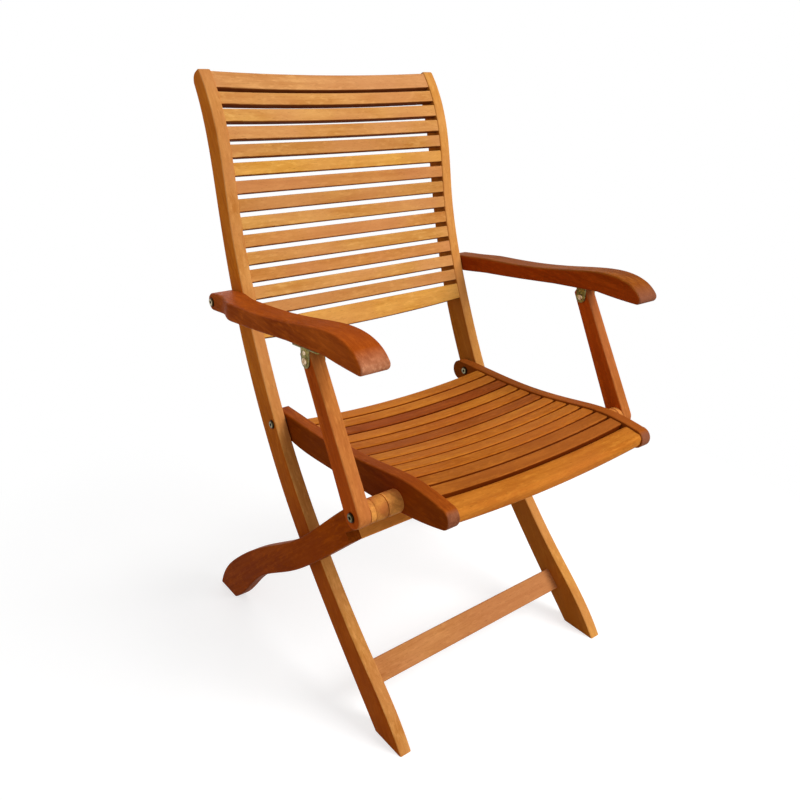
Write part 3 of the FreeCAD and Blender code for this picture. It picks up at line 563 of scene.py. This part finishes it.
zincTones = {                    # base and cloud colours
    "grey": ((128, 120, 98), (88, 82, 66)), "yellow": ((138, 122, 60), (84, 78, 40)),
    "pin": ((226, 202, 168), (168, 136, 98)),
    "seat": ((150, 142, 112), (104, 98, 76)), "arm": ((206, 188, 152), (152, 132, 100)),
    "front": ((116, 108, 74), (76, 70, 46)),
}
zincGrey = platedMaterial("zincGrey", *zincTones["grey"])
zincYellow = platedMaterial("zincYellow", *zincTones["yellow"])
zincPin = platedMaterial("zincPin", *zincTones["pin"])
zincBolts = {pivot: platedMaterial("zincBolt_" + pivot, *zincTones[pivot], spot)
             for pivot, spot in boltSpots.items()}
for node in ("seat_pivot_washers", "arm_pivot_washers", "stop_pegs"):
    dress(nodes[node], zincGrey)
print("boards dressed:", len(boardLooks))


# tools for the hand-modelled fittings
fitLook = {"sides": 48, "domeSteps": 5, "easeSteps": 2, "sharpFrom": 35,
           "near": 1e-5, "along": 0.9, "across": 0.5}      # near is a distance, along and across are cosines


def applyPlace():
    bpy.ops.object.transform_apply(location=True, rotation=True, scale=True)


def startPiece(name):
    piece = bpy.context.object
    piece.name = name
    piece.data.name = name
    applyPlace()
    return piece


def addRod(name, start, length, radius, sides=fitLook["sides"], axis="X"):
    bpy.ops.object.select_all(action="DESELECT")
    turn = (0, quarterTurn, 0) if axis == "X" else (0, 0, 0)
    reach = Vector((length / 2, 0, 0)) if axis == "X" else Vector((0, 0, length / 2))
    bpy.ops.mesh.primitive_cylinder_add(vertices=sides, radius=radius, depth=length,
                                        location=Vector(start) + reach, rotation=turn)
    return startPiece(name)


def addBlock(name, low, high):
    bpy.ops.object.select_all(action="DESELECT")
    middle = (Vector(low) + Vector(high)) / 2
    bpy.ops.mesh.primitive_cube_add(size=1, location=middle, scale=Vector(high) - Vector(low))
    return startPiece(name)


def only(piece):
    bpy.ops.object.select_all(action="DESELECT")
    piece.select_set(True)
    bpy.context.view_layer.objects.active = piece


def pick(piece, kind, test):     # kind is FACE or EDGE; test gets a centre and a normal or direction
    only(piece)
    bpy.ops.object.mode_set(mode="EDIT")
    bpy.ops.mesh.select_mode(type=kind)
    bpy.ops.mesh.select_all(action="DESELECT")
    bpy.ops.object.mode_set(mode="OBJECT")
    mesh = piece.data
    if kind == "FACE":
        for face in mesh.polygons:
            face.select = test(face.center, face.normal)
    else:
        for edge in mesh.edges:
            ends = [mesh.vertices[corner].co for corner in edge.vertices]
            edge.select = test((ends[0] + ends[1]) / 2, (ends[1] - ends[0]).normalized())
    bpy.ops.object.mode_set(mode="EDIT")


def done():
    bpy.ops.object.mode_set(mode="OBJECT")


def roundOff(piece, test, width, steps):           # bevels the edges that pass the test
    pick(piece, "EDGE", test)
    bpy.ops.mesh.bevel(offset=width, segments=steps, affect="EDGES")
    done()


def drawOut(piece, test, inset, shift):            # stays in edit mode
    pick(piece, "FACE", test)
    bpy.ops.mesh.inset(thickness=inset)
    bpy.ops.mesh.extrude_region_move(TRANSFORM_OT_translate={"value": shift})


def cutAway(piece, tool, operation="DIFFERENCE"):
    cut = piece.modifiers.new("cut", "BOOLEAN")
    cut.operation = operation
    cut.object = tool
    cut.solver = "EXACT"
    only(piece)
    bpy.ops.object.modifier_apply(modifier=cut.name)
    bpy.data.objects.remove(tool)


def easeEdges(piece, width):
    ease = piece.modifiers.new("ease", "BEVEL")
    ease.width = width
    ease.segments = fitLook["easeSteps"]
    ease.limit_method = "ANGLE"
    ease.angle_limit = math.radians(fitLook["sharpFrom"])
    only(piece)
    bpy.ops.object.modifier_apply(modifier=ease.name)


def smoothOff(piece):
    only(piece)
    bpy.ops.object.shade_smooth_by_angle(angle=math.radians(fitLook["sharpFrom"]))


def mirrored(piece, name):
    only(piece)
    bpy.ops.object.duplicate()
    twin = bpy.context.object
    twin.name = name
    twin.data.name = name
    twin.scale.x = -1
    applyPlace()
    bpy.ops.object.mode_set(mode="EDIT")
    bpy.ops.mesh.select_all(action="SELECT")
    bpy.ops.mesh.normals_make_consistent(inside=False)
    done()
    return twin


def joined(pieces):
    bpy.ops.object.select_all(action="DESELECT")
    for piece in pieces:
        piece.select_set(True)
    bpy.context.view_layer.objects.active = pieces[0]
    bpy.ops.object.join()
    return pieces[0]


def settle(piece, body, slot, material, *stoodFor):
    dress(piece, material)
    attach(piece, body)
    if stoodFor:
        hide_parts(*stoodFor)


# pivot bolts: low domed head outside with a hexagon socket, plain shank through the boards
boltLook = {"headRise": 0.0025, "headRadius": 0.0065, "shankRadius": 0.004, "dome": 0.0014, "tipEase": 0.0006,
            "socketRadius": 0.0029, "socketDepth": 0.0016, "socketSides": 6}


def pivotBolt(name, tip, spot, underHead):
    look = boltLook
    crown = underHead + look["headRise"]
    head = addRod(name, (underHead, spot.y, spot.z), look["headRise"], look["headRadius"])
    roundOff(head, lambda centre, way: centre.x > crown - fitLook["near"], look["dome"], fitLook["domeSteps"])
    drawOut(head, lambda centre, normal: normal.x < -fitLook["along"], look["headRadius"] - look["shankRadius"],
            (tip - underHead, 0, 0))
    done()
    roundOff(head, lambda centre, way: centre.x < tip + fitLook["near"], look["tipEase"], fitLook["easeSteps"])
    socket = addRod(name + "_socket", (crown - look["socketDepth"], spot.y, spot.z), look["headRise"],
                    look["socketRadius"], look["socketSides"])
    cutAway(head, socket)
    smoothOff(head)
    return head


# nuts: round caps inside, domed and with a hexagon socket like the heads
nutLook = {"radius": 0.0065, "bore": 0.00406, "cap": 0.0018}


def pivotNut(name, low, high, spot):
    look = nutLook
    cap = addRod(name, (low, spot.y, spot.z), high - low, look["radius"])
    roundOff(cap, lambda centre, way: centre.x < low + fitLook["near"], boltLook["dome"], fitLook["domeSteps"])
    hole = addRod(name + "_hole", (low + look["cap"], spot.y, spot.z), high - low, look["bore"])
    cutAway(cap, hole)
    depth = boltLook["socketDepth"]
    socket = addRod(name + "_socket", (low - depth, spot.y, spot.z), 2 * depth, boltLook["socketRadius"],
                    boltLook["socketSides"])
    cutAway(cap, socket)
    smoothOff(cap)
    return cap


pivots = {"seat": "back_frame", "arm": "back_frame", "front": "seat"}      # the body that carries each bolt
for place, body in pivots.items():
    pivot = place + "_pivot"
    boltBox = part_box(pivot + "_bolts")
    spot = middleOf(boltBox)
    nutReach = [corner.co.x for corner in nodes[pivot + "_nuts"].data.vertices if corner.co.x > 0]
    bolt = pivotBolt(pivot + "_bolt_set", min(nutReach) + nutLook["cap"], spot,
                     boltBox[1].x - boltLook["headRise"])
    settle(joined([bolt, mirrored(bolt, pivot + "_bolt_twin")]), body, "plated_steel", zincBolts[place],
           pivot + "_bolts")
    nut = pivotNut(pivot + "_nut_set", min(nutReach), max(nutReach), spot)
    settle(joined([nut, mirrored(nut, pivot + "_nut_twin")]), body, "plated_steel", zincBolts[place],
           pivot + "_nuts")
print("pivot bolts and nuts modelled")


# hinge brackets: a bent plate under the armrest with an ear down each side of the post
bracketLook = {"plate": 0.002, "length": 0.066, "plateTop": 0.01852, "slotHalf": 0.0109, "slope": 4.5,
               "earRadius": 0.0095, "earSides": 64, "earFlat": 0.1, "earStep": 0.0001,
               "cornerEase": 0.004, "cornerSteps": 6, "ease": 0.0004, "pinBore": 0.00306,
               "screwReach": 0.025, "screwHole": 0.002, "holeSides": 32}


def hang(piece, pin):            # from its own axes to the slope and place of the left bracket
    piece.rotation_euler = (-math.radians(bracketLook["slope"]), 0, 0)
    piece.location = pin
    only(piece)
    applyPlace()
    smoothOff(piece)


def hingeBracket(name, pin):
    look = bracketLook
    outer = look["slotHalf"] + look["plate"]
    half = look["length"] / 2
    top = look["plateTop"]
    wide = outer - look["earStep"]
    plate = addBlock(name, (-wide, -half, top - look["plate"]), (wide, half, top))
    roundOff(plate, lambda centre, way: abs(way.z) > fitLook["along"], look["cornerEase"], look["cornerSteps"])
    easeEdges(plate, look["ease"])
    for side in (-1, 1):
        low = min(side * look["slotHalf"], side * outer)
        ear = addRod(name + "_ear", (low, 0, 0), look["plate"], look["earRadius"], look["earSides"])
        pick(ear, "EDGE", lambda centre, way: centre.z > look["earRadius"] * look["earFlat"])
        bpy.ops.transform.resize(value=(1, 1, 0), center_override=(0, 0, top - look["plate"] / 2))
        done()
        easeEdges(ear, look["ease"])
        cutAway(plate, ear, "UNION")
    bore = addRod(name + "_bore", (-2 * outer, 0, 0), 4 * outer, look["pinBore"])
    cutAway(plate, bore)
    for reach in (-look["screwReach"], look["screwReach"]):
        hole = addRod(name + "_hole", (0, reach, 0), 2 * top, look["screwHole"], look["holeSides"], "Z")
        cutAway(plate, hole)
    hang(plate, pin)
    return plate


# hinge pin with a domed head each end, and a small rivet above it on the outer ear
pinLook = {"shank": 0.003, "headRadius": 0.005, "headRise": 0.0025, "dome": 0.0017,
           "dimple": 0.0016, "dimpleDepth": 0.000625,
           "rivetRadius": 0.0032, "rivetRise": 0.0012, "rivetAbove": 0.0115, "rivetSeat": 0.0004,
           "rivetDome": 0.0009}


def domedRod(name, start, length, radius, dome, end):    # end is low or high, the one that is domed
    rod = addRod(name, start, length, radius)
    rim = start[0] if end == "low" else start[0] + length
    roundOff(rod, lambda centre, way: abs(way.x) < fitLook["across"] and abs(centre.x - rim) < fitLook["near"],
             dome, fitLook["domeSteps"])
    return rod


def hingePin(name, low, high, spot):
    look = pinLook
    rise = look["headRise"]
    pin = domedRod(name, (high - rise, spot.y, spot.z), rise, look["headRadius"], look["dome"], "high")
    drawOut(pin, lambda centre, normal: normal.x > fitLook["along"] and centre.x > high - fitLook["near"],
            look["headRadius"] - look["dome"] - look["dimple"], (-look["dimpleDepth"], 0, 0))
    done()
    tail = domedRod(name + "_tail", (low, spot.y, spot.z), rise, look["headRadius"], look["dome"], "low")
    shank = addRod(name + "_shank", (low + rise / 2, spot.y, spot.z), high - low - rise, look["shank"])
    cutAway(pin, shank, "UNION")
    cutAway(pin, tail, "UNION")
    smoothOff(pin)
    return pin


# bracket screws: pan heads with a cross recess, pointing up into the armrest
screwLook = {"headRadius": 0.004, "headRise": 0.0014, "headSides": 40, "dome": 0.0008, "domeSteps": 4,
             "shank": 0.002, "length": 0.016, "tip": 0.35,
             "recessLong": 0.0024, "recessWide": 0.0007, "recessDeep": 0.0008}


def bracketScrew(name, pin, reach):
    look = screwLook
    under = bracketLook["plateTop"] - bracketLook["plate"] - look["headRise"]
    screw = addRod(name, (0, reach, under), look["headRise"], look["headRadius"], look["headSides"], "Z")
    roundOff(screw, lambda centre, way: centre.z < under + fitLook["near"], look["dome"], look["domeSteps"])
    drawOut(screw, lambda centre, normal: normal.z > fitLook["along"], look["headRadius"] - look["shank"],
            (0, 0, look["length"] - look["headRise"]))
    bpy.ops.transform.resize(value=(look["tip"], look["tip"], 1),
                             center_override=(0, reach, under + look["length"]))
    done()
    for long, wide in ((look["recessLong"], look["recessWide"]), (look["recessWide"], look["recessLong"])):
        slit = addBlock(name + "_slit", (-long, reach - wide, under - look["recessDeep"]),
                        (long, reach + wide, under + look["recessDeep"]))
        cutAway(screw, slit)
    hang(screw, pin)
    return screw


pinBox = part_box("arm_hinge_pin_left")
pinSpot = middleOf(pinBox)
bracketMiddle = Vector((middleOf(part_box("arm_bracket_left")).x, pinSpot.y, pinSpot.z))
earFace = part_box("arm_bracket_left")[1].x
bracket = hingeBracket("arm_bracket_plate_left", bracketMiddle)
pin = hingePin("arm_pin_left", pinBox[0].x, pinBox[1].x, pinSpot)
rivetBack = pinLook["rivetAbove"] * math.sin(math.radians(bracketLook["slope"]))
rivet = domedRod("bracket_rivet_left",
                 (earFace - pinLook["rivetSeat"], pinSpot.y + rivetBack, pinSpot.z + pinLook["rivetAbove"]),
                 pinLook["rivetRise"] + pinLook["rivetSeat"], pinLook["rivetRadius"], pinLook["rivetDome"],
                 "high")
smoothOff(rivet)
screws = joined([bracketScrew("bracket_screw_pair_left", bracketMiddle, -bracketLook["screwReach"]),
                 bracketScrew("bracket_screw_rear_left", bracketMiddle, bracketLook["screwReach"])])
fittings = ((bracket, "arm_bracket", zincYellow), (pin, "arm_hinge_pin", zincPin), (rivet, None, zincPin),
            (screws, "bracket_screws", zincYellow))
for piece, node, metal in fittings:
    twin = mirrored(piece, piece.name.replace("_left", "_right"))
    for item, side in ((piece, "left"), (twin, "right")):
        stoodFor = (node + "_" + side,) if node else ()
        settle(item, "armrest_" + side, "yellow_plated_steel", metal, *stoodFor)
print("hinge brackets, pins and screws modelled")


print("chair finished")
